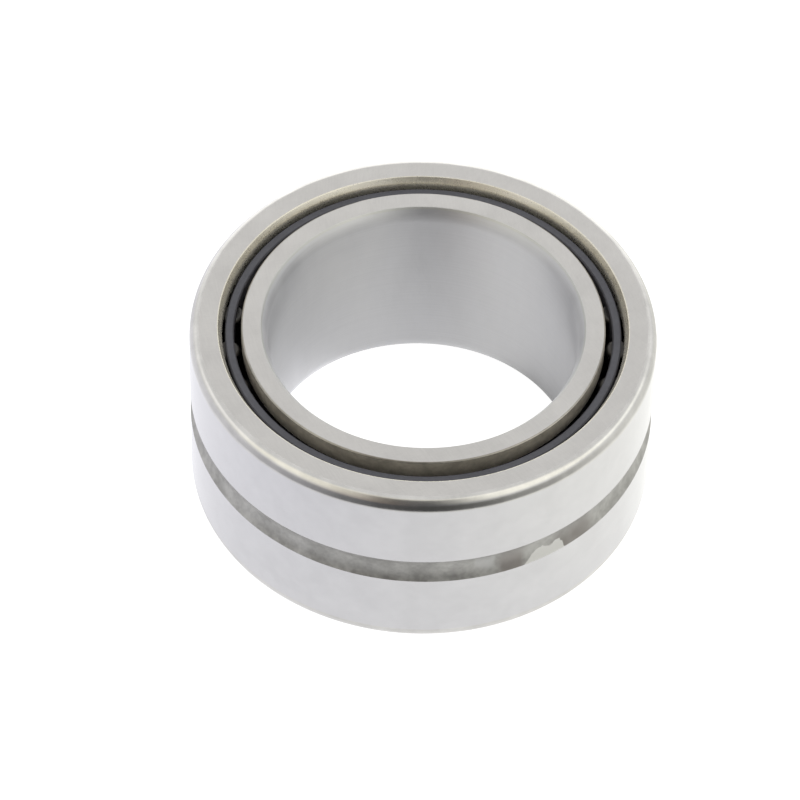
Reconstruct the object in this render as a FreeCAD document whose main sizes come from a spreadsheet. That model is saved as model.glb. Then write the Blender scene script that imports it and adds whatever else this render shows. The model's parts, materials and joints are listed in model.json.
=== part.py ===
import FreeCAD, Part
import math
import os
import Sketcher

# Needle roller bearing with machined rings: an outer ring with two ribs, a flush inner ring, one
# moulded cage and a single row of needle rollers.
# Units are millimetres and degrees. +Z runs along the axis of rotation, and the origin is the
# centre of the bearing, halfway between its two side faces.

DRIVING_DIMENSIONS = {
    # boundary sizes
    "bore_diameter": 30,
    "outside_diameter": 45,
    "bearing_width": 20,
    # needle rollers
    "roller_count": 25,
    "roller_diameter": 2.5,
    "roller_length": 15.8,
    "roller_end_radius": 0.4,
    "first_roller_angle": -1.5,
    # raceways, with the radial gap between a roller and each raceway
    "inner_raceway_diameter": 35,
    "raceway_gap": 0.03,
    # outer ring
    "rib_bore_diameter": 38.7,
    "rib_width": 1.95,
    "rib_chamfer_depth": 0.7,
    "rib_chamfer_width": 0.4,
    "outer_corner_radius": 0.9,
    "groove_width": 2.85,
    "groove_depth": 0.35,
    "oil_hole_diameter": 2.2,
    # inner ring
    "bore_chamfer_depth": 0.8,
    "bore_chamfer_width": 0.62,
    "inner_ring_chamfer": 0.1,
    # cage
    "cage_inner_diameter": 36.42,
    "cage_outer_diameter": 38.12,
    "cage_length": 18.0,
    "cage_chamfer": 0.12,
    "pocket_diameter": 2.62,
    "pocket_length": 15.92,
}

# Expressions of the driving dimensions that more than one feature uses
ROLLER_CENTRE = (
    "(Dimensions.inner_raceway_diameter / 2 + Dimensions.raceway_gap"
    " + Dimensions.roller_diameter / 2)"
)
OUTER_RACEWAY_RADIUS = f"{ROLLER_CENTRE} + Dimensions.roller_diameter / 2 + Dimensions.raceway_gap"
RACEWAY_LENGTH = "Dimensions.bearing_width - 2 * Dimensions.rib_width"
GROOVE_ARC_RADIUS = (
    "(Dimensions.groove_width ^ 2 / 4 + Dimensions.groove_depth ^ 2)"
    " / (2 * Dimensions.groove_depth)"
)

TOLERANCE = 1e-6

doc = FreeCAD.newDocument("NeedleRollerBearing")


# ---------------------------------------------------------------- helpers

def make_sheet():
    """The driving dimensions, one row each: the name, its value, and the value's alias."""
    sheet = doc.addObject("Spreadsheet::Sheet", "Dimensions")
    for row, (name, value) in enumerate(DRIVING_DIMENSIONS.items(), start=1):
        sheet.set(f"A{row}", name)
        sheet.set(f"B{row}", str(value))
        sheet.setAlias(f"B{row}", name)
    doc.recompute()
    return sheet


def origin_feature(body, role):
    """One of a body's own origin planes or axes."""
    return next(item for item in body.Origin.OriginFeatures if item.Role == role)


def new_body(node):
    body = doc.addObject("PartDesign::Body", node)
    body.Label = node
    return body


def new_sketch(body, name, plane):
    sketch = body.newObject("Sketcher::SketchObject", name)
    sketch.AttachmentSupport = [(origin_feature(body, plane), "")]
    sketch.MapMode = "FlatFace"
    return sketch


def bind(item, **expressions):
    """Bind properties of an object to expressions of the driving dimensions."""
    for name, expression in expressions.items():
        item.setExpression(name, expression)


def name_and_bind(sketch, index, name, expression):
    sketch.renameConstraint(index, name)
    sketch.setExpression(f"Constraints.{name}", expression)


def ring_section(body, name, inner_radius, outer_radius, height):
    """A rectangle to revolve about Z, centred on the middle plane of the bearing."""
    sketch = new_sketch(body, name, "XZ_Plane")
    low_in = FreeCAD.Vector(15, -5, 0)
    low_out = FreeCAD.Vector(20, -5, 0)
    high_out = FreeCAD.Vector(20, 5, 0)
    high_in = FreeCAD.Vector(15, 5, 0)
    corners = [low_in, low_out, high_out, high_in]
    for start, end in zip(corners, corners[1:] + corners[:1]):
        sketch.addGeometry(Part.LineSegment(start, end))
    for line in range(4):
        sketch.addConstraint(Sketcher.Constraint("Coincident", line, 2, (line + 1) % 4, 1))
    for line in (0, 2):
        sketch.addConstraint(Sketcher.Constraint("Horizontal", line))
    sketch.addConstraint(Sketcher.Constraint("Vertical", 1))
    # the symmetry about the horizontal axis also keeps the inner side upright
    sketch.addConstraint(Sketcher.Constraint("Symmetric", 0, 1, 3, 1, -1))
    inner = sketch.addConstraint(Sketcher.Constraint("DistanceX", -1, 1, 0, 1, low_in.x))
    name_and_bind(sketch, inner, "inner_radius", inner_radius)
    outer = sketch.addConstraint(Sketcher.Constraint("DistanceX", -1, 1, 0, 2, low_out.x))
    name_and_bind(sketch, outer, "outer_radius", outer_radius)
    tall = sketch.addConstraint(Sketcher.Constraint("DistanceY", 0, 1, 3, 1, high_in.y - low_in.y))
    name_and_bind(sketch, tall, "height", height)
    return sketch


def circle_sketch(body, name, plane, radius, centre_x):
    """A circle on a plane's horizontal axis, or at the origin where centre_x is None."""
    sketch = new_sketch(body, name, plane)
    start_x = 20 if centre_x else 0
    centre = FreeCAD.Vector(start_x, 0, 0)
    sketch.addGeometry(Part.Circle(centre, FreeCAD.Vector(0, 0, 1), 1))
    if centre_x:
        sketch.addConstraint(Sketcher.Constraint("PointOnObject", 0, 3, -1))
        place = sketch.addConstraint(Sketcher.Constraint("DistanceX", -1, 1, 0, 3, start_x))
        name_and_bind(sketch, place, "centre_radius", centre_x)
    else:
        sketch.addConstraint(Sketcher.Constraint("Coincident", 0, 3, -1, 1))
    size = sketch.addConstraint(Sketcher.Constraint("Radius", 0, 1))
    name_and_bind(sketch, size, "circle_radius", radius)
    return sketch


def revolve(body, name, sketch, kind="PartDesign::Revolution"):
    """Turn a sketch a full circle about the body's Z axis, adding or, as a Groove, cutting."""
    feature = body.newObject(kind, name)
    feature.Profile = sketch
    feature.ReferenceAxis = (origin_feature(body, "Z_Axis"), [""])
    feature.Angle = 360
    doc.recompute()
    return feature


def round_edges(feature, radius, height):
    """Names of a feature's circular edges of this radius, at plus or minus this height."""
    names = []
    for index, edge in enumerate(feature.Shape.Edges, start=1):
        curve = edge.Curve
        if not isinstance(curve, Part.Circle):
            continue
        same_radius = abs(curve.Radius - radius) < TOLERANCE
        same_height = abs(abs(curve.Center.z) - height) < TOLERANCE
        if same_radius and same_height:
            names.append(f"Edge{index}")
    return names


def dress_edges(body, kind, name, base, edges, **sizes):
    """A Fillet or Chamfer on named edges of the feature before it."""
    feature = body.newObject(kind, name)
    feature.Base = (base, edges)
    bind(feature, **sizes)
    doc.recompute()
    return feature


def steep_chamfers(body, name, base, radius, height, width, depth):
    """A chamfer deeper along the axis than it is wide on the edge of this radius at each end. Which
    of an edge's two faces takes which size isn't fixed, so each result is looked at and flipped if
    it came out the other way."""
    feature = base
    for side, end in (("Top", height), ("Bottom", -height)):
        edges = [
            edge
            for edge in round_edges(feature, radius, height)
            if feature.Shape.getElement(edge).Curve.Center.z * end > 0
        ]
        made = body.newObject("PartDesign::Chamfer", name + side)
        made.Base = (feature, edges)
        made.ChamferType = "Two distances"
        bind(made, Size=width, Size2=depth)
        doc.recompute()
        outcome = len(round_edges(made, radius + made.Size.Value, height))
        expected = 1 if side == "Top" else 2
        if outcome != expected:
            made.FlipDirection = True
            doc.recompute()
            outcome = len(round_edges(made, radius + made.Size.Value, height))
        if outcome != expected:
            raise RuntimeError(f"{made.Label} has its depth and width the wrong way round")
        feature = made
    return feature


def check_cut(before, after, expected, what):
    """Stop if a cut didn't remove about the volume that it should."""
    removed = before.Shape.Volume - after.Shape.Volume
    if abs(removed - expected) > 0.05 * expected:
        raise RuntimeError(f"{what} removed {removed:.3f} mm3, not about {expected:.3f}")


# ---------------------------------------------------------------- outer ring

def make_outer_ring(sheet):
    """A hardened ring: turned blank, recessed raceway between two ribs, oil groove and oil hole."""
    body = new_body("outer_ring")
    blank_section = ring_section(
        body,
        "OuterRingSection",
        "Dimensions.rib_bore_diameter / 2",
        "Dimensions.outside_diameter / 2",
        "Dimensions.bearing_width",
    )
    blank = revolve(body, "OuterRingBlank", blank_section)

    corners = round_edges(blank, sheet.outside_diameter / 2, sheet.bearing_width / 2)
    rounded = dress_edges(
        body, "PartDesign::Fillet", "OuterCorners", blank, corners, Radius="Dimensions.outer_corner_radius"
    )
    chamfered = steep_chamfers(
        body,
        "RibChamfer",
        rounded,
        sheet.rib_bore_diameter / 2,
        sheet.bearing_width / 2,
        "Dimensions.rib_chamfer_width",
        "Dimensions.rib_chamfer_depth",
    )

    # the raceway leaves a rib at each end of the bore
    raceway_section = ring_section(
        body, "RacewaySection", "Dimensions.rib_bore_diameter / 2 - 1", OUTER_RACEWAY_RADIUS, RACEWAY_LENGTH
    )
    raceway = revolve(body, "Raceway", raceway_section, "PartDesign::Groove")
    rib_bore = sheet.rib_bore_diameter / 2
    raceway_radius = raceway_section.getDatum("outer_radius").Value
    raceway_length = sheet.bearing_width - 2 * sheet.rib_width
    recess = math.pi * (raceway_radius ** 2 - rib_bore ** 2) * raceway_length
    check_cut(chamfered, raceway, recess, "the raceway")

    # a shallow groove of circular section takes the oil round to the hole
    groove_centre = f"Dimensions.outside_diameter / 2 - Dimensions.groove_depth + {GROOVE_ARC_RADIUS}"
    groove_section = circle_sketch(
        body, "OilGrooveSection", "XZ_Plane", GROOVE_ARC_RADIUS, groove_centre
    )
    groove = revolve(body, "OilGroove", groove_section, "PartDesign::Groove")
    segment = 2 / 3 * sheet.groove_width * sheet.groove_depth
    check_cut(raceway, groove, segment * math.pi * sheet.outside_diameter, "the oil groove")

    # one radial hole, on the +Y side, from the groove to the raceway
    hole_section = circle_sketch(body, "OilHoleSection", "XZ_Plane", "Dimensions.oil_hole_diameter / 2", None)
    hole = body.newObject("PartDesign::Pocket", "OilHole")
    hole.Profile = hole_section
    hole.Type = "Length"
    hole.Reversed = False
    bind(hole, Length="Dimensions.outside_diameter / 2")
    doc.recompute()
    wall = sheet.outside_diameter / 2 - sheet.groove_depth - raceway_radius
    check_cut(groove, hole, math.pi * sheet.oil_hole_diameter ** 2 / 4 * wall, "the oil hole")
    body.Tip = hole
    return body


# ---------------------------------------------------------------- inner ring

def make_inner_ring(sheet):
    """A plain hardened ring whose outside is the inner raceway."""
    body = new_body("inner_ring")
    section = ring_section(
        body,
        "InnerRingSection",
        "Dimensions.bore_diameter / 2",
        "Dimensions.inner_raceway_diameter / 2",
        "Dimensions.bearing_width",
    )
    blank = revolve(body, "InnerRingBlank", section)
    led_in = steep_chamfers(
        body,
        "BoreChamfer",
        blank,
        sheet.bore_diameter / 2,
        sheet.bearing_width / 2,
        "Dimensions.bore_chamfer_width",
        "Dimensions.bore_chamfer_depth",
    )
    raceway_edges = round_edges(led_in, sheet.inner_raceway_diameter / 2, sheet.bearing_width / 2)
    chamfered = dress_edges(
        body,
        "PartDesign::Chamfer",
        "RacewayChamfers",
        led_in,
        raceway_edges,
        Size="Dimensions.inner_ring_chamfer",
    )
    body.Tip = chamfered
    return body


# ---------------------------------------------------------------- cage

def make_cage(sheet):
    """A moulded ring with one pocket for each roller. Each pocket is a bore along its roller, open to
    both sides, and its inner lips are closer together than the roller is thick."""
    body = new_body("cage")
    section = ring_section(
        body,
        "CageSection",
        "Dimensions.cage_inner_diameter / 2",
        "Dimensions.cage_outer_diameter / 2",
        "Dimensions.cage_length",
    )
    blank = revolve(body, "CageBlank", section)
    end_edges = round_edges(blank, sheet.cage_inner_diameter / 2, sheet.cage_length / 2)
    end_edges += round_edges(blank, sheet.cage_outer_diameter / 2, sheet.cage_length / 2)
    chamfered = dress_edges(
        body, "PartDesign::Chamfer", "CageChamfers", blank, end_edges, Size="Dimensions.cage_chamfer"
    )

    pocket_section = circle_sketch(
        body, "PocketSection", "XY_Plane", "Dimensions.pocket_diameter / 2", ROLLER_CENTRE
    )
    pocket = body.newObject("PartDesign::Pocket", "RollerPocket")
    pocket.Profile = pocket_section
    pocket.Type = "Length"
    pocket.Midplane = True
    bind(pocket, Length="Dimensions.pocket_length")
    doc.recompute()

    pattern = body.newObject("PartDesign::PolarPattern", "RollerPockets")
    pattern.Originals = [pocket]
    pattern.Axis = (origin_feature(body, "Z_Axis"), [""])
    pattern.Angle = 360
    bind(pattern, Occurrences="Dimensions.roller_count")
    body.Tip = pattern
    doc.recompute()
    one_pocket = chamfered.Shape.Volume - pocket.Shape.Volume
    check_cut(chamfered, pattern, one_pocket * sheet.roller_count, "the pockets")

    turn = FreeCAD.Rotation(FreeCAD.Vector(0, 0, 1), sheet.first_roller_angle)
    body.Placement = FreeCAD.Placement(FreeCAD.Vector(0, 0, 0), turn)
    return body


# ---------------------------------------------------------------- needle rollers

def make_roller(sheet, number):
    """One needle roller with rounded ends, lying in its pocket."""
    body = new_body(f"needle_roller_{number:02d}")
    shank = body.newObject("PartDesign::AdditiveCylinder", f"Shank{number:02d}")
    bind(shank, Radius="Dimensions.roller_diameter / 2", Height="Dimensions.roller_length")
    shank.setExpression("AttachmentOffset.Base.z", "-Dimensions.roller_length / 2")
    shank.AttachmentSupport = [(origin_feature(body, "XY_Plane"), "")]
    shank.MapMode = "FlatFace"
    doc.recompute()
    ends = round_edges(shank, sheet.roller_diameter / 2, sheet.roller_length / 2)
    rounded = dress_edges(
        body, "PartDesign::Fillet", f"Ends{number:02d}", shank, ends, Radius="Dimensions.roller_end_radius"
    )
    body.Tip = rounded

    angle = f"(Dimensions.first_roller_angle + {number - 1} * 360 / Dimensions.roller_count) * 1 deg"
    body.setExpression("Placement.Base.x", f"{ROLLER_CENTRE} * cos({angle})")
    body.setExpression("Placement.Base.y", f"{ROLLER_CENTRE} * sin({angle})")
    return body


# ---------------------------------------------------------------- checks and export

def check_document(bodies):
    """Stop before anything is written if a feature failed or a body isn't one valid solid."""
    for item in doc.Objects:
        if "Invalid" in item.State or "Error" in item.State:
            raise RuntimeError(f"{item.Label} failed: {item.State}")
    for item in doc.findObjects("Sketcher::SketchObject"):
        if item.solve() != 0:
            raise RuntimeError(f"{item.Label} can't be solved")
    for body in bodies:
        shape = body.Shape
        if shape.isNull() or not shape.isValid():
            raise RuntimeError(f"{body.Label} has no valid shape")
        if len(shape.Solids) != 1:
            raise RuntimeError(f"{body.Label} has {len(shape.Solids)} solids")


def main():
    sheet = make_sheet()
    bodies = [make_outer_ring(sheet), make_inner_ring(sheet), make_cage(sheet)]
    for number in range(1, int(sheet.roller_count) + 1):
        bodies.append(make_roller(sheet, number))
    doc.recompute()
    check_document(bodies)

    os.makedirs("parts", exist_ok=True)
    for body in bodies:
        body.Shape.exportStep(f"parts/{body.Label}.step")
        print(f"{body.Label}: {body.Shape.Volume:.2f} mm3")


main()
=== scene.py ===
import json
import math

import bpy
from mathutils import Matrix, Vector


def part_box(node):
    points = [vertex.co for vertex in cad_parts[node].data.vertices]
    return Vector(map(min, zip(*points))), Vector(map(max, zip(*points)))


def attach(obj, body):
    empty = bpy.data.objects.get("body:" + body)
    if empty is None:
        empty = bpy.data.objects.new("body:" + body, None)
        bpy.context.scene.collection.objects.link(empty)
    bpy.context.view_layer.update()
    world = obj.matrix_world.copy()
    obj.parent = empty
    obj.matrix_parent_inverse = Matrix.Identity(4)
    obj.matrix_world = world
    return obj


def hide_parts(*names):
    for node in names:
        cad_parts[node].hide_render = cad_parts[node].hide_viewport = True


# Looks of a needle roller bearing with machined rings. Lengths are in metres, and angles in radians
# unless a comment says degrees. The bearing's axis is +Z, its origin is halfway between its side
# faces, and -Y faces the camera.

MM = 0.001

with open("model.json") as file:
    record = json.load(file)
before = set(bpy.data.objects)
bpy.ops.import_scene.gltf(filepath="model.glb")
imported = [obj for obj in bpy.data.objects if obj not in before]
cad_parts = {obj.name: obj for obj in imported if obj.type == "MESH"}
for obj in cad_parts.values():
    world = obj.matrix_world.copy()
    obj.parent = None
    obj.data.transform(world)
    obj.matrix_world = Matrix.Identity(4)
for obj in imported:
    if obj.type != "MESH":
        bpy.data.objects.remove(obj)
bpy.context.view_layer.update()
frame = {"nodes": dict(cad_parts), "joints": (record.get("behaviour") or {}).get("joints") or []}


# ---------------------------------------------------------------- sizes from the frame

def vertex_radii(node):
    """How far a CAD node's vertices are from the bearing's axis."""
    return [vertex.co.xy.length for vertex in frame["nodes"][node].data.vertices]


OUTER_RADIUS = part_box("outer_ring")[1].x
HALF_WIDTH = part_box("outer_ring")[1].z
RIB_BORE = min(vertex_radii("outer_ring"))
INNER_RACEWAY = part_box("inner_ring")[1].y
BORE = min(vertex_radii("inner_ring"))
CAGE_OUTSIDE = max(vertex_radii("cage"))
CAGE_INSIDE = min(vertex_radii("cage"))
CAGE_HALF_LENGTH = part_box("cage")[1].z
ROLLER_NODES = sorted(node for node in frame["nodes"] if node.startswith("needle_roller"))
ROLLER_RADIUS = (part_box(ROLLER_NODES[0])[1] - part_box(ROLLER_NODES[0])[0]).y / 2
ROLLER_HALF_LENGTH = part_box(ROLLER_NODES[0])[1].z
ROLLER_CENTRES = {
    joint["child"]: Vector(joint["pos_m"])
    for joint in frame["joints"]
    if joint["child"] in ROLLER_NODES
}
FIRST_ROLLER_CENTRE = ROLLER_CENTRES[ROLLER_NODES[0]]
FIRST_ROLLER_ANGLE = math.atan2(FIRST_ROLLER_CENTRE.y, FIRST_ROLLER_CENTRE.x)
ROLLER_PITCH_RADIUS = FIRST_ROLLER_CENTRE.length

# ---------------------------------------------------------------- sizes of details

OUTER_CORNER = (0.9 * MM, 1.3 * MM)     # across the face, and along the axis
OUTER_CORNER_STEPS = 14
RIB_WIDTH = 1.95 * MM
RIB_CHAMFER = (0.4 * MM, 0.7 * MM)      # across the face, and along the axis
RACEWAY_GAP = 0.03 * MM
OUTER_RACEWAY = ROLLER_PITCH_RADIUS + ROLLER_RADIUS + RACEWAY_GAP
GROOVE_HALF_WIDTH = 1.425 * MM
GROOVE_DEPTH = 0.35 * MM
GROOVE_ARC = (GROOVE_HALF_WIDTH ** 2 + GROOVE_DEPTH ** 2) / (2 * GROOVE_DEPTH)
OIL_HOLE_RADIUS = 1.1 * MM
OIL_HOLE_EDGE = 0.08 * MM
BORE_CHAMFER = (0.62 * MM, 0.8 * MM)    # across the face, and along the axis
INNER_CHAMFER = 0.1 * MM
RACEWAY_END = 2.0 * MM         # the stretch at each end of the inner raceway that isn't ground
CAGE_CHAMFER = 0.12 * MM
POCKET_RADIUS = 1.31 * MM
POCKET_HALF_LENGTH = 7.96 * MM
SUPPORT = 0.03 * MM            # how far a flat's first row of points is from its corner

# An arc on a corner of a section is its radius and its number of steps.
NO_ARC = (0, 0)
FINE_EDGE = (0.04 * MM, 3)     # an edge that only looks sharp
FACE_EDGE = (0.08 * MM, 3)     # where a side face meets a chamfer
RIB_LEAD = (0.8 * MM, 8)       # where the rib's chamfer runs into its bore
BORE_LEAD = (2.2 * MM, 12)     # the same for the inner ring's bore
ROLLER_CORNER = (0.4 * MM, 8)

RING_COLUMNS = 360
SMOOTH_BELOW = math.radians(25)     # faces that meet at a smaller angle are shaded as one surface


# ---------------------------------------------------------------- profiles of revolution

def corner_points(before, corner, after, radius, steps):
    """A corner of a profile as an arc, with a support point on each flat beside it."""
    if radius == 0:
        return [corner]
    into = (corner - before).normalized()
    out = (after - corner).normalized()
    turn = into.angle_signed(out)
    reach = radius * math.tan(abs(turn) / 2)
    start = corner - into * reach
    inward = Vector((into.y, -into.x)) if turn > 0 else Vector((-into.y, into.x))
    centre = start + inward * radius
    arm = start - centre
    points = [start - into * SUPPORT]
    for step in range(steps + 1):
        swing = -turn * step / steps
        swung = Vector((
            arm.x * math.cos(swing) - arm.y * math.sin(swing),
            arm.x * math.sin(swing) + arm.y * math.cos(swing),
        ))
        points.append(centre + swung)
    points.append(corner + out * (reach + SUPPORT))
    return points


def rounded_profile(corners):
    """(points, surface of the stretch after each point) from corners given as (r, z, arc, surface of
    the arc, surface of the flat after it)."""
    points = []
    surfaces = []
    for index, (r, z, arc, arc_surface, flat_surface) in enumerate(corners):
        before = Vector(corners[index - 1][:2])
        after = Vector(corners[(index + 1) % len(corners)][:2])
        made = corner_points(before, Vector((r, z)), after, *arc)
        points += made
        surfaces += [arc_surface] * (len(made) - 1) + [flat_surface]
    return points, surfaces


def plain_corners(points, surface, after_last):
    """Corners with no arc and one surface between them, and another surface after the last."""
    corners = [(r, z, NO_ARC, surface, surface) for r, z in points[:-1]]
    return corners + [(*points[-1], NO_ARC, surface, after_last)]


class MeshMaker:
    """Collects vertices and faces, each face with the name of its surface."""

    def __init__(self):
        self.vertices = []
        self.faces = []
        self.surfaces = []

    def vertex(self, x, y, z):
        self.vertices.append((x, y, z))
        return len(self.vertices) - 1

    def face(self, corners, surface):
        self.faces.append(corners)
        self.surfaces.append(surface)

    def finish(self, name, *surfaces):
        """The object, with the materials of the surfaces it has."""
        mesh = bpy.data.meshes.new(name)
        mesh.from_pydata(self.vertices, [], self.faces)
        for surface in surfaces:
            mesh.materials.append(MATERIALS[surface])
        mesh.polygons.foreach_set("material_index", [surfaces.index(s) for s in self.surfaces])
        mesh.shade_smooth()
        mesh.set_sharp_from_angle(angle=SMOOTH_BELOW)
        mesh.validate()
        mesh.update()
        piece = bpy.data.objects.new(name, mesh)
        bpy.context.scene.collection.objects.link(piece)
        return piece


def circle_rows(maker, points, columns):
    """A circle of vertices about Z for each point of a section: rows[point][column]."""
    angles = [math.tau * column / columns for column in range(columns)]
    return [[maker.vertex(r * math.cos(a), r * math.sin(a), z) for a in angles] for r, z in points]


def revolve(maker, points, surfaces, left_out=()):
    """Turn a closed profile about Z. Returns the vertex numbers as rows[point][column]. left_out holds
    the (point, column) of faces that something else fills."""
    rows = circle_rows(maker, points, RING_COLUMNS)
    for index, surface in enumerate(surfaces):
        here = rows[index]
        after = rows[(index + 1) % len(rows)]
        for column in range(RING_COLUMNS):
            if (index, column) in left_out:
                continue
            beside = (column + 1) % RING_COLUMNS
            maker.face((here[column], here[beside], after[beside], after[column]), surface)
    return rows


def join_loops(maker, first, second, surface):
    """A band of faces between two closed loops of vertices."""
    for index, corner in enumerate(first):
        beside = (index + 1) % len(first)
        maker.face((corner, first[beside], second[beside], second[index]), surface)


# ---------------------------------------------------------------- materials

NOISE_LOW, NOISE_HIGH = 0.3, 0.7        # most of a noise texture lies between these
ALONG_AXIS = 0.25                       # the anisotropic rotation that draws reflections out along Z


class Nodes:
    """A node tree, with short ways to add the nodes used here."""

    def __init__(self, owner):
        self.tree = owner.node_tree
        self.tree.nodes.clear()

    def add(self, kind, **settings):
        node = self.tree.nodes.new(kind)
        for name, value in settings.items():
            setattr(node, name, value)
        return node

    def link(self, source, target):
        self.tree.links.new(source, target)

    def feed(self, socket, value):
        """Set a socket to a number or colour, or link it to another node's output."""
        if isinstance(value, (int, float, tuple)):
            socket.default_value = value
        else:
            self.link(value, socket)

    def maths(self, operation, first, second=0.0):
        node = self.add("ShaderNodeMath", operation=operation)
        self.feed(node.inputs[0], first)
        self.feed(node.inputs[1], second)
        return node.outputs[0]

    def plus(self, first, second):
        return self.maths("ADD", first, second)

    def times(self, first, second):
        return self.maths("MULTIPLY", first, second)

    def length(self, x, y):
        """The length of a flat vector."""
        return self.maths("SQRT", self.plus(self.times(x, x), self.times(y, y)))

    def angle_from_front(self, x, y):
        """The angle round the axis from -Y, growing to the right."""
        return self.maths("ARCTAN2", x, self.times(y, -1.0))

    def weigh(self, share, first, second):
        """A share of the first value and the rest of the second."""
        return self.plus(self.times(first, share), self.times(second, 1 - share))

    def noise(self, vector, scale, detail, roughness):
        node = self.add("ShaderNodeTexNoise")
        self.link(vector, node.inputs["Vector"])
        node.inputs["Scale"].default_value = scale
        node.inputs["Detail"].default_value = detail
        node.inputs["Roughness"].default_value = roughness
        return node.outputs["Fac"]

    def span(self, value, low, high, to_low, to_high, smooth=False):
        """The value's place between low and high, carried over to between to_low and to_high."""
        node = self.add("ShaderNodeMapRange")
        node.interpolation_type = "SMOOTHSTEP" if smooth else "LINEAR"
        self.feed(node.inputs["Value"], value)
        node.inputs["From Min"].default_value = low
        node.inputs["From Max"].default_value = high
        node.inputs["To Min"].default_value = to_low
        node.inputs["To Max"].default_value = to_high
        return node.outputs["Result"]

    def share(self, value, low, high):
        """How far the value is on its way from low to high, as 0 to 1."""
        return self.span(value, low, high, 0.0, 1.0)

    def rise(self, value, low, high):
        """0 below low and 1 above high, with a soft step between them."""
        return self.span(value, low, high, 0.0, 1.0, smooth=True)

    def fall(self, value, low, high):
        """1 below low and 0 above high, with a soft step between them."""
        return self.span(value, low, high, 1.0, 0.0, smooth=True)

    def between(self, value, low, high, soft):
        """1 between low and high, fading to 0 over a distance of soft outside each."""
        return self.times(self.rise(value, low - soft, low), self.fall(value, high, high + soft))

    def vector(self, x, y, z):
        node = self.add("ShaderNodeCombineXYZ")
        for socket, value in zip(node.inputs, (x, y, z)):
            self.feed(socket, value)
        return node.outputs[0]

    def mix(self, kind, share, first, second):
        node = self.add("ShaderNodeMix", data_type=kind)
        for name, value in (("Factor", share), ("A", first), ("B", second)):
            self.feed(node.inputs[name], value)
        return node.outputs["Result"]

    def mix_colour(self, share, first, second):
        return self.mix("RGBA", share, first, second)

    def mix_number(self, share, first, second):
        return self.mix("FLOAT", share, first, second)

    def darker_to_lighter(self, share, tone, contrast):
        """A tone that goes from darker to lighter with the share."""
        return self.mix_colour(share, shade(tone, 1 - contrast), shade(tone, 1 + contrast))

    def point(self):
        """The point in the piece's own frame."""
        return self.add("ShaderNodeTexCoord").outputs["Object"]

    def parts(self, vector):
        """The x, y and z of a vector."""
        split = self.add("ShaderNodeSeparateXYZ")
        self.link(vector, split.inputs[0])
        return list(split.outputs)

    def finish(self, kind, reflected, seen):
        """End the tree: the camera sees one shader, and every other ray meets the other."""
        either = self.add("ShaderNodeMixShader")
        self.link(self.add("ShaderNodeLightPath").outputs["Is Camera Ray"], either.inputs[0])
        self.link(reflected.outputs[0], either.inputs[1])
        self.link(seen.outputs[0], either.inputs[2])
        self.link(either.outputs[0], self.add(kind).inputs["Surface"])


def colour(red, green, blue):
    return (red, green, blue, 1.0)


def shade(tone, factor):
    return (tone[0] * factor, tone[1] * factor, tone[2] * factor, 1.0)


def principled(name, metallic):
    material = bpy.data.materials.new(name)
    material.use_nodes = True
    nodes = Nodes(material)
    shader = nodes.add("ShaderNodeBsdfPrincipled")
    output = nodes.add("ShaderNodeOutputMaterial")
    nodes.link(shader.outputs[0], output.inputs["Surface"])
    shader.inputs["Metallic"].default_value = metallic
    return material, nodes, shader


def add_roughness(nodes, shader, pattern, smoothest, roughest):
    value = nodes.span(pattern, NOISE_LOW, NOISE_HIGH, smoothest, roughest)
    nodes.link(value, shader.inputs["Roughness"])


def add_bump(nodes, shader, height, distance, strength):
    bump = nodes.add("ShaderNodeBump")
    bump.inputs["Strength"].default_value = strength
    bump.inputs["Distance"].default_value = distance
    nodes.link(height, bump.inputs["Height"])
    nodes.link(bump.outputs[0], shader.inputs["Normal"])


def face_steel(name, tone):
    """A side face ground flat: two sets of faint crossing arcs and a soft mottle."""
    material, nodes, shader = principled(name, 1.0)
    point = nodes.point()
    x, y = nodes.parts(point)[:2]
    arcs = []
    # each set's centre, and how short its marks are along the arc
    for centre_x, centre_y, marks in ((55 * MM, 20 * MM, 6.0), (-30 * MM, 60 * MM, 7.8)):
        off_x = nodes.maths("SUBTRACT", x, centre_x)
        off_y = nodes.maths("SUBTRACT", y, centre_y)
        across = nodes.times(nodes.length(off_x, off_y), 1 / MM)
        along = nodes.times(nodes.maths("ARCTAN2", off_y, off_x), marks)
        marks_on_arcs = nodes.vector(across, along, 0.0)
        arcs.append(nodes.noise(marks_on_arcs, scale=7.0, detail=3.0, roughness=0.6))
    lines = nodes.weigh(0.6, *arcs)
    mottle = nodes.noise(point, scale=260.0, detail=3.0, roughness=0.55)
    mixed = nodes.weigh(0.6, lines, mottle)
    share = nodes.share(mixed, 0.35, 0.65)
    nodes.link(nodes.darker_to_lighter(share, tone, contrast=0.07), shader.inputs["Base Color"])
    add_roughness(nodes, shader, mixed, smoothest=0.30, roughest=0.42)
    add_bump(nodes, shader, lines, distance=0.004 * MM, strength=0.25)
    return material


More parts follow.
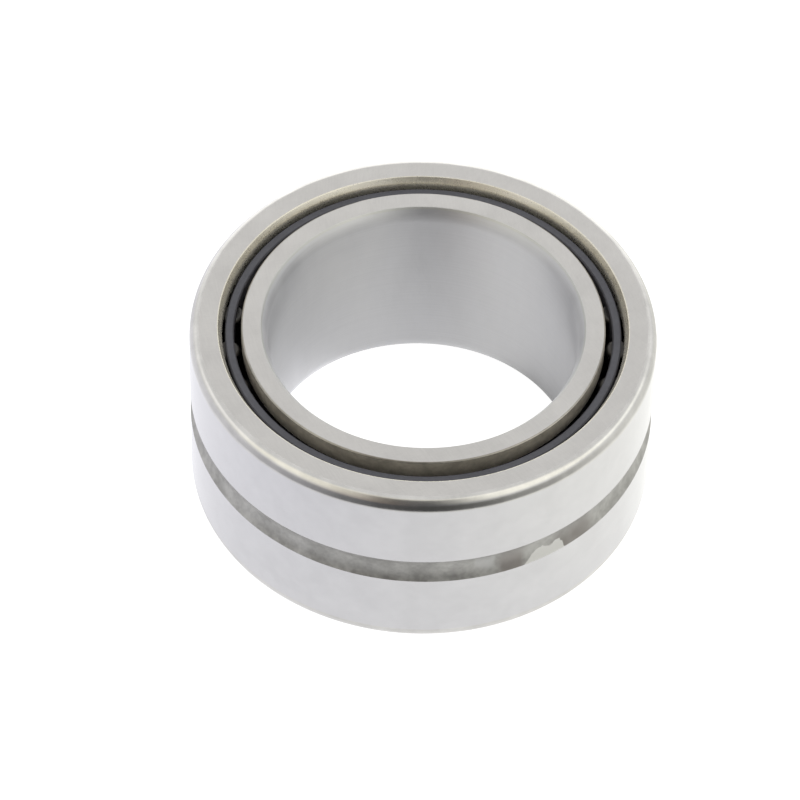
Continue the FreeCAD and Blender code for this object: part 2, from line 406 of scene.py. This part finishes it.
def turned_steel(name, tone, roughness, line_scale, contrast, bump, stretch=0.0, cloudy=False):
    """A surface ground round the axis: fine lines run round it, with a slow change of tone. stretch
    is how far the lines draw its reflections out along the axis. A cloudy one is polished, and has
    soft patches in place of most of its lines."""
    material, nodes, shader = principled(name, 1.0)
    if stretch:
        shader.inputs["Anisotropic"].default_value = stretch
        shader.inputs["Anisotropic Rotation"].default_value = ALONG_AXIS
        tangent = nodes.add("ShaderNodeTangent", direction_type="RADIAL", axis="Z")
        nodes.link(tangent.outputs[0], shader.inputs["Tangent"])
    point = nodes.point()
    x, y, z = nodes.parts(point)
    radius = nodes.length(x, y)
    turn_x = nodes.maths("DIVIDE", x, radius)
    turn_y = nodes.maths("DIVIDE", y, radius)
    height = nodes.times(z, 1 / MM)

    def round_axis(per_radius, per_mm):
        """Where a noise is read, so that its pattern runs round the axis."""
        return nodes.vector(
            nodes.times(turn_x, per_radius),
            nodes.times(turn_y, per_radius),
            nodes.times(height, per_mm),
        )

    lines = nodes.noise(round_axis(1.2, line_scale), scale=1.0, detail=4.0, roughness=0.65)
    if cloudy:
        patches = nodes.noise(point, scale=380.0, detail=4.0, roughness=0.6)
        mixed = nodes.weigh(0.1, lines, patches)
    else:
        slow = nodes.noise(round_axis(5.0, 0.12), scale=1.0, detail=3.0, roughness=0.55)
        mixed = nodes.weigh(0.5, lines, slow)
    share = nodes.share(mixed, 0.35, 0.65)
    nodes.link(nodes.darker_to_lighter(share, tone, contrast), shader.inputs["Base Color"])
    add_roughness(nodes, shader, mixed, smoothest=roughness * 0.85, roughest=roughness * 1.15)
    add_bump(nodes, shader, lines, distance=0.004 * MM, strength=bump)
    return material


def scaled_steel(name, tone, worn_tone, roughness, metallic=1.0, contrast=0.2, bump=0.4):
    """Steel that was hardened but not ground: matte and mottled, with lighter worn patches."""
    material, nodes, shader = principled(name, metallic)
    point = nodes.point()
    grain = nodes.noise(point, scale=1500.0, detail=4.0, roughness=0.65)
    blotch = nodes.noise(point, scale=230.0, detail=3.0, roughness=0.6)
    share = nodes.share(nodes.plus(grain, blotch), 0.75, 1.25)
    base = nodes.darker_to_lighter(share, tone, contrast)
    patches = nodes.noise(point, scale=95.0, detail=2.0, roughness=0.5)
    worn = nodes.span(patches, 0.60, 0.66, 0.0, 0.8, smooth=True)
    nodes.link(nodes.mix_colour(worn, base, worn_tone), shader.inputs["Base Color"])
    add_roughness(nodes, shader, grain, smoothest=roughness * 0.85, roughest=roughness * 1.15)
    add_bump(nodes, shader, grain, distance=0.01 * MM, strength=bump)
    return material


# Places in the groove. Angles are in degrees to the right of the front, and heights go from 0 at the
# groove's lower edge to 1 at its upper edge.
BROWN_STRETCHES = ((21.5, 25.5, 2.5), (39.0, 44.0, 6.0))    # from, to, and how far each end fades
PALE_PATCH_TURN = (14.5, 18.5, 1.2)
PALE_PATCH_HEIGHT = (0.40, 0.75, 0.25)
STAIN_TURN = (24.4, 38.3, 0.2)
STAIN_SLOPE_TURN = (24.6, 31.2)         # the stain's left part climbs between these
STAIN_SLOPE_HEIGHT = (-0.02, 0.48)
STAIN_DIP_TURN = (32.2, 34.0)           # and sinks again between these
STAIN_DIP_SHARE = 0.62
STAIN_SLOPE_END = 36.0
STAIN_LOBE_CENTRE = 36.3                # its right part is a round lobe
STAIN_LOBE_HALF_WIDTH = 1.9
STAIN_LOBE_HEIGHT = 0.42


def stain_crest(nodes, turn):
    """How high the stain reaches in the groove at an angle."""
    slope = nodes.span(turn, *STAIN_SLOPE_TURN, *STAIN_SLOPE_HEIGHT, smooth=True)
    slope = nodes.times(slope, nodes.span(turn, *STAIN_DIP_TURN, 1.0, STAIN_DIP_SHARE, smooth=True))
    slope = nodes.times(slope, nodes.span(turn, STAIN_SLOPE_END, STAIN_SLOPE_END + 0.1, 1.0, 0.0))
    off_centre = nodes.maths("SUBTRACT", turn, STAIN_LOBE_CENTRE)
    off_centre = nodes.maths("DIVIDE", off_centre, STAIN_LOBE_HALF_WIDTH)
    lobe = nodes.maths("SUBTRACT", 1.0, nodes.times(off_centre, off_centre))
    lobe = nodes.times(nodes.maths("SQRT", nodes.maths("MAXIMUM", lobe, 0.0)), STAIN_LOBE_HEIGHT)
    return nodes.maths("MAXIMUM", slope, lobe)


def groove_steel(name):
    """The groove as it was hardened: grey and blotchy, a little brown in places. To the right of the
    front a light stain creeps up from its lower edge, with a paler patch before it."""
    material, nodes, shader = principled(name, 1.0)
    point = nodes.point()
    x, y, z = nodes.parts(point)
    grain = nodes.noise(point, scale=1400.0, detail=4.0, roughness=0.7)
    blotch = nodes.noise(point, scale=330.0, detail=3.0, roughness=0.6)
    share = nodes.share(nodes.plus(grain, blotch), 0.8, 1.2)
    base = nodes.mix_colour(share, colour(0.31, 0.305, 0.29), colour(0.48, 0.475, 0.455))
    # the outlines of the patches are ragged and wavy
    ragged = nodes.noise(point, scale=900.0, detail=3.0, roughness=0.6)
    ragged = nodes.span(ragged, NOISE_LOW, NOISE_HIGH, -1.0, 1.0)
    wavy = nodes.noise(point, scale=420.0, detail=2.0, roughness=0.5)
    wavy = nodes.span(wavy, NOISE_LOW, NOISE_HIGH, -1.0, 1.0)
    degrees = nodes.times(nodes.angle_from_front(x, y), 180 / math.pi)
    turn = nodes.plus(degrees, nodes.times(ragged, 0.35))
    height = nodes.share(z, -GROOVE_HALF_WIDTH, GROOVE_HALF_WIDTH)
    uneven = nodes.plus(ragged, nodes.times(wavy, 2.0))
    height = nodes.plus(height, nodes.times(uneven, 0.05))
    # the brown stretches are strongest low in the groove
    brown = nodes.maths("MAXIMUM", *[nodes.between(turn, *place) for place in BROWN_STRETCHES])
    strongest_low = nodes.span(height, 0.3, 0.9, 0.85, 0.45)
    strength = nodes.times(strongest_low, nodes.span(wavy, -1.0, 0.6, 0.45, 1.0))
    base = nodes.mix_colour(nodes.times(brown, strength), base, colour(0.26, 0.24, 0.225))
    pale = nodes.between(turn, *PALE_PATCH_TURN)
    pale = nodes.times(pale, nodes.between(height, *PALE_PATCH_HEIGHT))
    base = nodes.mix_colour(nodes.times(pale, 0.6), base, colour(0.54, 0.54, 0.53))
    # the stain is light and hides the metal under it
    below_crest = nodes.maths("SUBTRACT", stain_crest(nodes, turn), height)
    stain = nodes.times(nodes.rise(below_crest, -0.02, 0.05), nodes.between(turn, *STAIN_TURN))
    base = nodes.mix_colour(nodes.times(stain, 0.95), base, colour(0.68, 0.68, 0.66))
    nodes.link(base, shader.inputs["Base Color"])
    nodes.link(nodes.span(stain, 0.0, 1.0, 1.0, 0.1), shader.inputs["Metallic"])
    add_roughness(nodes, shader, grain, smoothest=0.42, roughest=0.58)
    add_bump(nodes, shader, grain, distance=0.01 * MM, strength=0.4)
    return material


def cage_polymer(name):
    """Black glass-filled polyamide: a fine moulded grain with a soft sheen."""
    material, nodes, shader = principled(name, 0.0)
    point = nodes.point()
    grain = nodes.noise(point, scale=2600.0, detail=3.0, roughness=0.6)
    cloud = nodes.noise(point, scale=400.0, detail=2.0, roughness=0.5)
    share = nodes.share(nodes.plus(grain, cloud), 0.7, 1.3)
    base = nodes.mix_colour(share, colour(0.056, 0.057, 0.071), colour(0.080, 0.082, 0.100))
    nodes.link(base, shader.inputs["Base Color"])
    add_roughness(nodes, shader, cloud, smoothest=0.42, roughest=0.55)
    add_bump(nodes, shader, grain, distance=0.008 * MM, strength=0.3)
    return material


def make_materials():
    """The material of each named surface."""
    plain = colour(0.60, 0.595, 0.60)
    return {
        "face": face_steel("side_face_steel", colour(0.523, 0.511, 0.495)),
        "land": turned_steel(
            "outside_steel", plain,
            roughness=0.15, line_scale=9.0, contrast=0.03, bump=0.06, cloudy=True
        ),
        "corner": turned_steel(
            "corner_steel", colour(0.60, 0.59, 0.57),
            roughness=0.20, line_scale=5.0, contrast=0.09, bump=0.2, cloudy=True
        ),
        "groove": groove_steel("groove_steel"),
        "rib": scaled_steel(
            "rib_steel", colour(0.68, 0.65, 0.565), colour(0.70, 0.67, 0.60),
            roughness=0.28, metallic=0.72, contrast=0.06, bump=0.02
        ),
        "ring_end": scaled_steel(
            "ring_end_steel", colour(0.49, 0.455, 0.395), colour(0.56, 0.53, 0.47),
            roughness=0.42, metallic=0.6, bump=0.2
        ),
        "ring_edge": scaled_steel(
            "ring_edge_steel", colour(0.30, 0.285, 0.255), colour(0.58, 0.56, 0.53),
            roughness=0.36
        ),
        "lead_in": turned_steel(
            "lead_in_steel", colour(0.57, 0.57, 0.55),
            roughness=0.45, line_scale=5.0, contrast=0.03, bump=0.2, stretch=0.9
        ),
        "bore": turned_steel(
            "bore_steel", colour(0.575, 0.575, 0.585),
            roughness=0.42, line_scale=7.0, contrast=0.06, bump=0.2, stretch=0.95
        ),
        "raceway": turned_steel(
            "raceway_steel", plain,
            roughness=0.16, line_scale=12.0, contrast=0.03, bump=0.15
        ),
        "roller": turned_steel(
            "roller_steel", colour(0.62, 0.61, 0.60),
            roughness=0.18, line_scale=6.0, contrast=0.03, bump=0.15
        ),
        # the roller ends are painted nearly black: painted shade where they sit in the dark gap between
        # the cage and the rings
        "roller_end": scaled_steel(
            "roller_end_painted_shade", colour(0.09, 0.087, 0.083), colour(0.14, 0.135, 0.13),
            roughness=0.4
        ),
        "cage": cage_polymer("cage_polymer"),
    }


MATERIALS = make_materials()


# ---------------------------------------------------------------- outer ring

# The oil hole opens in a square patch of the ring's grid, in the groove and in the raceway.
PATCH_HALF_HEIGHT = 1.3 * MM
PATCH_ROWS = 8
HOLE_COLUMN = RING_COLUMNS // 4         # at +Y
FIRST_PATCH_COLUMN = HOLE_COLUMN - 6
LAST_PATCH_COLUMN = HOLE_COLUMN + 6
MOUTH_LOOPS = (0.4, 0.75, 1.0)          # loops from the square to the hole, as shares of the way
SAME_PLACE = 1e-7


def groove_radius(z):
    """Radius of the groove's floor at a height."""
    floor = OUTER_RADIUS - GROOVE_DEPTH
    return floor + GROOVE_ARC - math.sqrt(GROOVE_ARC ** 2 - z ** 2)


def raceway_radius(z):
    """Radius of the raceway, the same at every height."""
    return OUTER_RACEWAY


# surface, its radius at a height, and 1 where the metal is inwards of it or -1 where it is outwards
HOLE_MOUTHS = (("groove", groove_radius, 1), ("raceway", raceway_radius, -1))


def patch_heights():
    return [PATCH_HALF_HEIGHT * (2 * row / PATCH_ROWS - 1) for row in range(PATCH_ROWS + 1)]


def outer_corner():
    """The ring's rounded outer corner, from the land up to the face: longer along the axis."""
    across, along = OUTER_CORNER
    points = [(OUTER_RADIUS, HALF_WIDTH - along - SUPPORT)]
    for step in range(OUTER_CORNER_STEPS + 1):
        swing = math.pi / 2 * step / OUTER_CORNER_STEPS
        r = OUTER_RADIUS - across * (1 - math.cos(swing))
        points.append((r, HALF_WIDTH - along * (1 - math.sin(swing))))
    points.append((OUTER_RADIUS - across - SUPPORT, HALF_WIDTH))
    return points


def outer_ring_corners():
    """The ring's section, upwards on the outside and downwards on the inside."""
    top = HALF_WIDTH
    raceway_top = HALF_WIDTH - RIB_WIDTH
    upper_corner = outer_corner()
    lower_corner = [(r, -z) for r, z in reversed(upper_corner)]
    groove = [(groove_radius(z), z) for z in patch_heights()]
    raceway = [(OUTER_RACEWAY, z) for z in reversed(patch_heights())]
    return [
        *plain_corners(lower_corner, "corner", "land"),
        (OUTER_RADIUS, -GROOVE_HALF_WIDTH, FINE_EDGE, "groove", "groove"),
        *plain_corners(groove, "groove", "groove"),
        (OUTER_RADIUS, GROOVE_HALF_WIDTH, FINE_EDGE, "groove", "land"),
        *plain_corners(upper_corner, "corner", "face"),
        (RIB_BORE + RIB_CHAMFER[0], top, FACE_EDGE, "rib", "rib"),
        (RIB_BORE, top - RIB_CHAMFER[1], RIB_LEAD, "rib", "rib"),
        (RIB_BORE, raceway_top, FINE_EDGE, "rib", "rib"),
        (OUTER_RACEWAY, raceway_top, FINE_EDGE, "rib", "raceway"),
        *plain_corners(raceway, "raceway", "raceway"),
        (OUTER_RACEWAY, -raceway_top, FINE_EDGE, "rib", "rib"),
        (RIB_BORE, -raceway_top, FINE_EDGE, "rib", "rib"),
        (RIB_BORE, RIB_CHAMFER[1] - top, RIB_LEAD, "rib", "rib"),
        (RIB_BORE + RIB_CHAMFER[0], -top, FACE_EDGE, "rib", "face"),
    ]


def patch_rows(points, radius_at):
    """The first and the last row of the patch in one surface."""
    rows = []
    for z in (-PATCH_HALF_HEIGHT, PATCH_HALF_HEIGHT):
        edge = Vector((radius_at(z), z))
        rows.append(next(i for i, point in enumerate(points) if (point - edge).length < SAME_PLACE))
    return sorted(rows)


def patch_outline(rows, low_row, high_row):
    """The grid's vertices round a patch, in order."""
    first, last = FIRST_PATCH_COLUMN, LAST_PATCH_COLUMN
    outline = [rows[low_row][column] for column in range(first, last)]
    outline += [rows[row][last] for row in range(low_row, high_row)]
    outline += [rows[high_row][column] for column in range(last, first, -1)]
    outline += [rows[row][first] for row in range(high_row, low_row, -1)]
    return outline


def loop_round_hole(maker, outline, share, radius_at):
    """A loop in the surface between the patch's outline, at share 0, and the hole's rim, at share 1."""
    rim = OIL_HOLE_RADIUS + OIL_HOLE_EDGE
    loop = []
    for number in outline:
        x, y, z = maker.vertices[number]
        length = math.hypot(x, z)
        to_x = x + share * (rim * x / length - x)
        to_z = z + share * (rim * z / length - z)
        loop.append(maker.vertex(to_x, math.sqrt(radius_at(to_z) ** 2 - to_x ** 2), to_z))
    return loop


def open_oil_hole(maker, rows, points):
    """Fill the two patches left out of the ring with the mouths of the oil hole, and line it."""
    mouths = []
    for surface, radius_at, inwards in HOLE_MOUTHS:
        outline = patch_outline(rows, *patch_rows(points, radius_at))
        loops = [outline]
        for share in MOUTH_LOOPS:
            loops.append(loop_round_hole(maker, outline, share, radius_at))
        for first, second in zip(loops, loops[1:]):
            join_loops(maker, first, second, surface)
        lip = []
        for number in loops[-1]:
            x, y, z = maker.vertices[number]
            shrink = OIL_HOLE_RADIUS / math.hypot(x, z)
            lip.append(maker.vertex(x * shrink, y - inwards * OIL_HOLE_EDGE, z * shrink))
        join_loops(maker, loops[-1], lip, "rib")
        mouths.append(lip)
    outside, inside = mouths
    # the inside loop runs the other way round, so each outside vertex takes the nearest inside one
    ordered = [
        min(inside, key=lambda n: (Vector(maker.vertices[n]).xz - Vector(maker.vertices[o]).xz).length)
        for o in outside
    ]
    join_loops(maker, outside, ordered, "rib")


def make_outer_ring():
    points, surfaces = rounded_profile(outer_ring_corners())
    maker = MeshMaker()
    left_out = set()
    for _, radius_at, _ in HOLE_MOUTHS:
        for row in range(*patch_rows(points, radius_at)):
            for column in range(FIRST_PATCH_COLUMN, LAST_PATCH_COLUMN):
                left_out.add((row, column))
    rows = revolve(maker, points, surfaces, left_out)
    open_oil_hole(maker, rows, points)
    return maker.finish("outer_ring_fine", "face", "land", "corner", "groove", "rib", "raceway")


# ---------------------------------------------------------------- inner ring

def make_inner_ring():
    top = HALF_WIDTH
    points, surfaces = rounded_profile([
        (INNER_RACEWAY - INNER_CHAMFER, -top, FINE_EDGE, "ring_edge", "ring_edge"),
        (INNER_RACEWAY, INNER_CHAMFER - top, FINE_EDGE, "ring_edge", "ring_end"),
        (INNER_RACEWAY, RACEWAY_END - top, NO_ARC, "raceway", "raceway"),
        (INNER_RACEWAY, top - RACEWAY_END, NO_ARC, "ring_end", "ring_end"),
        (INNER_RACEWAY, top - INNER_CHAMFER, FINE_EDGE, "ring_edge", "ring_edge"),
        (INNER_RACEWAY - INNER_CHAMFER, top, FINE_EDGE, "ring_edge", "face"),
        (BORE + BORE_CHAMFER[0], top, FACE_EDGE, "lead_in", "lead_in"),
        (BORE, top - BORE_CHAMFER[1], BORE_LEAD, "bore", "bore"),
        (BORE, BORE_CHAMFER[1] - top, BORE_LEAD, "bore", "lead_in"),
        (BORE + BORE_CHAMFER[0], -top, FACE_EDGE, "lead_in", "face"),
    ])
    maker = MeshMaker()
    revolve(maker, points, surfaces)
    return maker.finish(
        "inner_ring_fine", "face", "ring_edge", "lead_in", "ring_end", "raceway", "bore"
    )


# ---------------------------------------------------------------- cage

POCKET_STEPS = 10              # columns across a pocket
WEB_STEPS = 8                  # columns across the web between two pockets
PITCH_STEPS = POCKET_STEPS + WEB_STEPS
DEPTH_STEPS = 6                # steps from the cage's inside to its outside
CAGE_COLUMNS = len(ROLLER_NODES) * PITCH_STEPS


def pocket_half_angle(radius):
    """Half the angle that a pocket takes of the cage at a radius."""
    squares = radius ** 2 + ROLLER_PITCH_RADIUS ** 2 - POCKET_RADIUS ** 2
    return math.acos(squares / (2 * radius * ROLLER_PITCH_RADIUS))


def cage_column_angles(radius):
    """The angles of the cage's columns at a radius: across each pocket, then across each web."""
    pitch = math.tau / len(ROLLER_NODES)
    half = pocket_half_angle(radius)
    web = pitch - 2 * half
    angles = []
    for roller in range(len(ROLLER_NODES)):
        centre = FIRST_ROLLER_ANGLE + roller * pitch
        angles += [centre - half + 2 * half * step / POCKET_STEPS for step in range(POCKET_STEPS)]
        angles += [centre + half + web * step / WEB_STEPS for step in range(WEB_STEPS)]
    return angles


def cage_row(maker, radius, z):
    """A ring of vertices with the cage's columns."""
    angles = cage_column_angles(radius)
    return [maker.vertex(radius * math.cos(angle), radius * math.sin(angle), z) for angle in angles]


def everywhere(column):
    return True


def in_web(column):
    return column % PITCH_STEPS >= POCKET_STEPS


def in_pocket(column):
    return not in_web(column)


def cage_face(maker, corners, flip):
    maker.face(corners[::-1] if flip else corners, "cage")


def cage_band(maker, first, second, chosen, flip):
    """Faces between two rows of the cage, in the chosen columns."""
    for column in range(CAGE_COLUMNS):
        if chosen(column):
            beside = (column + 1) % CAGE_COLUMNS
            corners = (first[column], first[beside], second[beside], second[column])
            cage_face(maker, corners, flip)


def make_cage():
    """Two end rings joined by a web between each two pockets."""
    maker = MeshMaker()
    wall = CAGE_OUTSIDE - CAGE_INSIDE
    depths = [CAGE_INSIDE + wall * step / DEPTH_STEPS for step in range(DEPTH_STEPS + 1)]
    pocket_ends = []
    for side in (-1, 1):
        flip = side < 0
        end = side * CAGE_HALF_LENGTH
        shoulder = end - side * CAGE_CHAMFER
        pocket_end = [cage_row(maker, radius, side * POCKET_HALF_LENGTH) for radius in depths]
        pocket_ends.append(pocket_end)
        outline = [
            pocket_end[-1],
            cage_row(maker, CAGE_OUTSIDE, shoulder),
            cage_row(maker, CAGE_OUTSIDE - CAGE_CHAMFER, end),
            cage_row(maker, CAGE_OUTSIDE - CAGE_CHAMFER - SUPPORT, end),
            cage_row(maker, CAGE_INSIDE + CAGE_CHAMFER + SUPPORT, end),
            cage_row(maker, CAGE_INSIDE + CAGE_CHAMFER, end),
            cage_row(maker, CAGE_INSIDE, shoulder),
            pocket_end[0],
        ]
        for first, second in zip(outline, outline[1:]):
            cage_band(maker, first, second, everywhere, flip)
        for first, second in zip(pocket_end, pocket_end[1:]):
            cage_band(maker, first, second, in_pocket, flip)
    low, high = pocket_ends
    cage_band(maker, low[-1], high[-1], in_web, False)
    cage_band(maker, high[0], low[0], in_web, False)
    # the two sides of each pocket
    for start in range(0, CAGE_COLUMNS, PITCH_STEPS):
        for column, flip in ((start, False), (start + POCKET_STEPS, True)):
            for step in range(DEPTH_STEPS):
                lower_edge = (low[step][column], low[step + 1][column])
                upper_edge = (high[step + 1][column], high[step][column])
                cage_face(maker, lower_edge + upper_edge, flip)
    return maker.finish("cage_fine", "cage")


# ---------------------------------------------------------------- needle rollers

ROLLER_COLUMNS = 48


def make_roller(node):
    """One roller about its own axis, with a flat end inside each rounded corner."""
    maker = MeshMaker()
    outline = [
        Vector((0, -ROLLER_HALF_LENGTH)),
        Vector((ROLLER_RADIUS, -ROLLER_HALF_LENGTH)),
        Vector((ROLLER_RADIUS, ROLLER_HALF_LENGTH)),
        Vector((0, ROLLER_HALF_LENGTH)),
    ]
    points = []
    for before, corner, after in zip(outline, outline[1:], outline[2:]):
        points += corner_points(before, corner, after, *ROLLER_CORNER)
    rows = circle_rows(maker, points, ROLLER_COLUMNS)
    long_side = len(rows) // 2 - 1
    for index, (here, after) in enumerate(zip(rows, rows[1:])):
        join_loops(maker, here, after, "roller" if index == long_side else "roller_end")
    bottom = maker.vertex(0, 0, -ROLLER_HALF_LENGTH)
    top = maker.vertex(0, 0, ROLLER_HALF_LENGTH)
    for column in range(ROLLER_COLUMNS):
        beside = (column + 1) % ROLLER_COLUMNS
        maker.face((rows[0][beside], rows[0][column], bottom), "roller_end")
        maker.face((rows[-1][column], rows[-1][beside], top), "roller_end")
    roller = maker.finish(f"{node}_fine", "roller", "roller_end")
    roller.location = ROLLER_CENTRES[node]
    return roller


def stand_in_for(piece, node):
    """The piece takes a CAD node's place and motion: it hangs from the node's body, and the node is
    hidden.
    """
    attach(piece, node)
    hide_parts(node)


stand_in_for(make_outer_ring(), "outer_ring")
stand_in_for(make_inner_ring(), "inner_ring")
stand_in_for(make_cage(), "cage")
for roller_node in ROLLER_NODES:
    stand_in_for(make_roller(roller_node), roller_node)


# ---------------------------------------------------------------- floor, light and camera

CAMERA_ELEVATION = 48.6                 # degrees
CAMERA_ROLL = 1.43                      # degrees
CAMERA_DISTANCE = 0.4875
CAMERA_LENS = 225.0
BEARING_RIGHT_OF_CENTRE = 2.09 * MM
BEARING_ABOVE_CENTRE = 0.61 * MM
FLOOR_HALF_SIZE = 3.0
SHEET_EDGE = OUTER_RADIUS + 21 * MM
# the painted pool of light on the table under the bore, seen only in reflections
FLOOR_IN_BORE = (1.9, 1.12, 0.5)        # how bright it is at its left, in its middle and at its right


def floor_brightness(nodes, x, y):
    """What the bearing sees of the table, as a glow with painted light and shade: a white sheet close
    round it, and past the sheet's edge a table with painted shade in front and paler at the sides and
    behind. Under the bore it is a painted pool of light."""
    radius = nodes.length(x, y)
    # past the sheet's edge: painted shade in front, paler at the sides and behind
    turn = nodes.maths("ABSOLUTE", nodes.angle_from_front(x, y))
    aside = nodes.rise(turn, 0.0, math.radians(100))
    near = nodes.span(aside, 0.0, 1.0, 0.08, 0.95)
    behind = nodes.rise(turn, math.radians(125), math.radians(160))
    far = nodes.rise(radius, 40 * MM, 120 * MM)
    table = nodes.plus(near, nodes.times(nodes.times(behind, far), 0.7))
    to_right = nodes.span(x, -25 * MM, 25 * MM, -0.04, 0.08)
    sheet = nodes.plus(nodes.span(aside, 0.0, 1.0, 1.0, 1.12), to_right)
    past_edge = nodes.rise(radius, SHEET_EDGE - 2 * MM, SHEET_EDGE + 2 * MM)
    outside = nodes.mix_number(past_edge, sheet, table)
    # under the bore: a painted pool of light, brightest at the left and dim at the right
    at_left, in_middle, at_right = FLOOR_IN_BORE
    left_half = nodes.span(x, -11 * MM, -5 * MM, at_left, in_middle, smooth=True)
    right_half = nodes.span(x, 5 * MM, 11 * MM, in_middle, at_right, smooth=True)
    halves = nodes.share(x, -1 * MM, 1 * MM)
    in_bore = nodes.mix_number(halves, left_half, right_half)
    past_ring = nodes.share(radius, BORE, BORE + MM)
    return nodes.mix_number(past_ring, in_bore, outside)


def make_floor():
    """A white table. The camera sees it evenly lit, with a faint shade where the bearing stands."""
    mesh = bpy.data.meshes.new("floor")
    half = FLOOR_HALF_SIZE
    corners = [(-half, -half, 0), (half, -half, 0), (half, half, 0), (-half, half, 0)]
    mesh.from_pydata(corners, [], [(0, 1, 2, 3)])
    material = bpy.data.materials.new("white_table")
    material.use_nodes = True
    nodes = Nodes(material)
    white = nodes.add("ShaderNodeBsdfPrincipled")
    white.inputs["Base Color"].default_value = colour(0.5, 0.5, 0.5)
    white.inputs["Roughness"].default_value = 0.9
    white.inputs["Specular IOR Level"].default_value = 0.0
    white.inputs["Emission Color"].default_value = colour(1, 1, 1)
    white.inputs["Emission Strength"].default_value = 0.85
    # every other ray sees the table glow with painted light and shade
    reflected = nodes.add("ShaderNodeEmission")
    x, y = nodes.parts(nodes.point())[:2]
    nodes.link(floor_brightness(nodes, x, y), reflected.inputs["Strength"])
    to_right = nodes.share(x, -30 * MM, 30 * MM)
    tint = nodes.mix_colour(to_right, colour(0.99, 0.99, 1.04), colour(1.01, 1.01, 0.975))
    nodes.link(tint, reflected.inputs["Color"])
    nodes.finish("ShaderNodeOutputMaterial", reflected, white)
    mesh.materials.append(material)
    floor = bpy.data.objects.new("floor", mesh)
    floor.location.z = -HALF_WIDTH
    bpy.context.scene.collection.objects.link(floor)


def make_world():
    """A white studio round the bearing: a tall lit panel on each side of the front, and a dark
    opening between them. The camera itself sees an even white backdrop."""
    world = bpy.data.worlds.new("studio")
    bpy.context.scene.world = world
    world.use_nodes = True
    nodes = Nodes(world)
    direction = nodes.add("ShaderNodeTexCoord").outputs["Generated"]
    x, y, z = nodes.parts(direction)
    to_right = nodes.share(x, -0.2, 0.2)
    # the lit panels
    risen = nodes.rise(z, 0.10, 0.42)
    not_overhead = nodes.fall(z, 0.90, 0.98)
    not_behind = nodes.fall(y, -0.30, 0.10)
    panel = nodes.times(nodes.times(risen, not_overhead), not_behind)
    panel_tone = nodes.mix_colour(to_right, colour(1.36, 1.33, 1.20), colour(1.55, 1.53, 1.42))
    # a lit band round the sides and back, which at the back reaches down to the table
    beside = nodes.fall(y, 0.30, 0.62)
    behind = nodes.rise(y, 0.70, 0.95)
    under_top = nodes.fall(z, 0.60, 0.70)
    band = nodes.times(under_top, nodes.maths("MAXIMUM", risen, behind))
    side_tone = nodes.mix_colour(to_right, colour(1.38, 1.37, 1.36), colour(1.5, 1.51, 1.45))
    corner_tone = nodes.mix_colour(beside, colour(1.08, 1.08, 1.08), side_tone)
    band_tone = nodes.mix_colour(behind, corner_tone, colour(1.7, 1.7, 1.68))
    wall = nodes.mix_colour(band, colour(0.95, 0.95, 0.95), band_tone)
    lit = nodes.mix_colour(panel, wall, panel_tone)
    # the dark opening narrows upwards
    half_width = nodes.span(z, 0.0, 1.0, 0.98, 0.42)
    aside = nodes.maths("DIVIDE", nodes.maths("ABSOLUTE", nodes.plus(x, 0.06)), half_width)
    inside = nodes.fall(aside, 0.08, 1.0)
    low = nodes.fall(z, 0.74, 1.04)
    ahead = nodes.fall(y, -0.42, -0.05)
    opening = nodes.times(nodes.times(inside, low), ahead)
    across = nodes.share(x, -0.45, -0.05)
    dark = nodes.mix_colour(across, colour(0.30, 0.23, 0.18), colour(0.11, 0.11, 0.115))
    studio = nodes.add("ShaderNodeBackground")
    nodes.link(nodes.mix_colour(opening, lit, dark), studio.inputs["Color"])
    backdrop = nodes.add("ShaderNodeBackground")
    backdrop.inputs["Color"].default_value = colour(1, 1, 1)
    nodes.finish("ShaderNodeOutputWorld", studio, backdrop)


def make_camera():
    """The camera looks along +Y and down, rolled a little, with the bearing near the middle."""
    data = bpy.data.cameras.new("camera")
    data.sensor_width = 36
    data.lens = CAMERA_LENS
    data.clip_start = 0.01
    data.clip_end = 20
    camera = bpy.data.objects.new("camera", data)
    tilt = Matrix.Rotation(math.radians(90 - CAMERA_ELEVATION), 4, "X")
    roll = Matrix.Rotation(math.radians(CAMERA_ROLL), 4, "Z")
    back_off = Matrix.Translation((-BEARING_RIGHT_OF_CENTRE, -BEARING_ABOVE_CENTRE, CAMERA_DISTANCE))
    camera.matrix_world = tilt @ roll @ back_off
    bpy.context.scene.collection.objects.link(camera)
    bpy.context.scene.camera = camera


make_floor()
make_world()
make_camera()
bpy.context.scene.view_settings.view_transform = "Standard"
